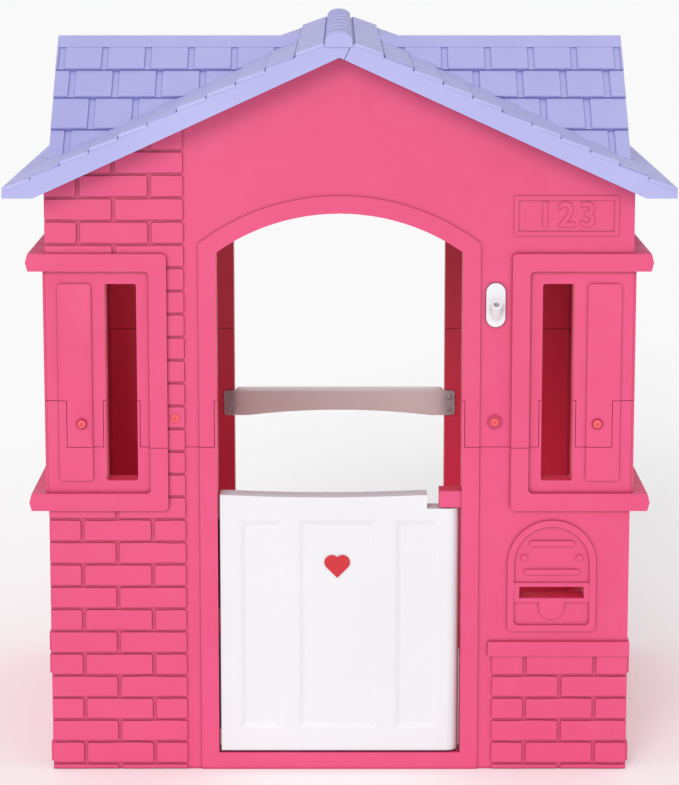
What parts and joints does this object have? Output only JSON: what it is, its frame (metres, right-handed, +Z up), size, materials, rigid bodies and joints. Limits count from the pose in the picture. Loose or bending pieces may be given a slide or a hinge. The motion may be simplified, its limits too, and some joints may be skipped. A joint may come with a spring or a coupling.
{
  "type": "plastic playhouse",
  "caption": "Child's moulded plastic playhouse with two-piece walls, gabled roof with side dormers, arched openings, swinging half door, letterbox and flag holder.",
  "frame": {"origin": "on the ground under the middle of the house", "axes": "+Z up, the front wall with the door faces -Y, +X to the right as seen from the front"},
  "size_m": [1.13, 0.883, 1.285],
  "materials": {
    "wall_plastic": "satin moulded",
    "roof_plastic": "satin moulded",
    "white_plastic": "satin moulded",
    "cream_plastic": "satin moulded",
    "coral_plastic": "satin moulded",
    "badge_plastic": "glossy",
    "screw_steel": "bright zinc"
  },
  "bodies": {
    "house": {"front_wall_lower": "wall_plastic", "front_wall_upper": "wall_plastic", "back_wall_lower": "wall_plastic", "back_wall_upper": "wall_plastic", "left_wall_lower": "wall_plastic", "left_wall_upper": "wall_plastic", "right_wall_lower": "wall_plastic", "right_wall_upper": "wall_plastic", "roof_panel_left": "roof_plastic", "roof_panel_right": "roof_plastic", "ridge_screws": "screw_steel", "roof_screws": "screw_steel", "front_lap_screws": "coral_plastic", "back_lap_screws": "coral_plastic", "left_lap_screws": "coral_plastic", "right_lap_screws": "coral_plastic", "front_corner_screws": "screw_steel", "back_corner_screws": "screw_steel", "door_pin_upper": "screw_steel", "door_pin_lower": "screw_steel", "crossbar": "cream_plastic", "crossbar_screws": "screw_steel", "flag_holder": "white_plastic", "flag_holder_screws": "screw_steel"},
    "half_door": {"door": "white_plastic", "door_badge": "badge_plastic"}
  },
  "joints": [
    {"name": "door_hinge", "type": "hinge", "parent": "house", "child": "half_door", "pos_m": [0.187, -0.369, 0.25], "axis": [0, 0, 1], "range_deg": [0, 90]}
  ]
}
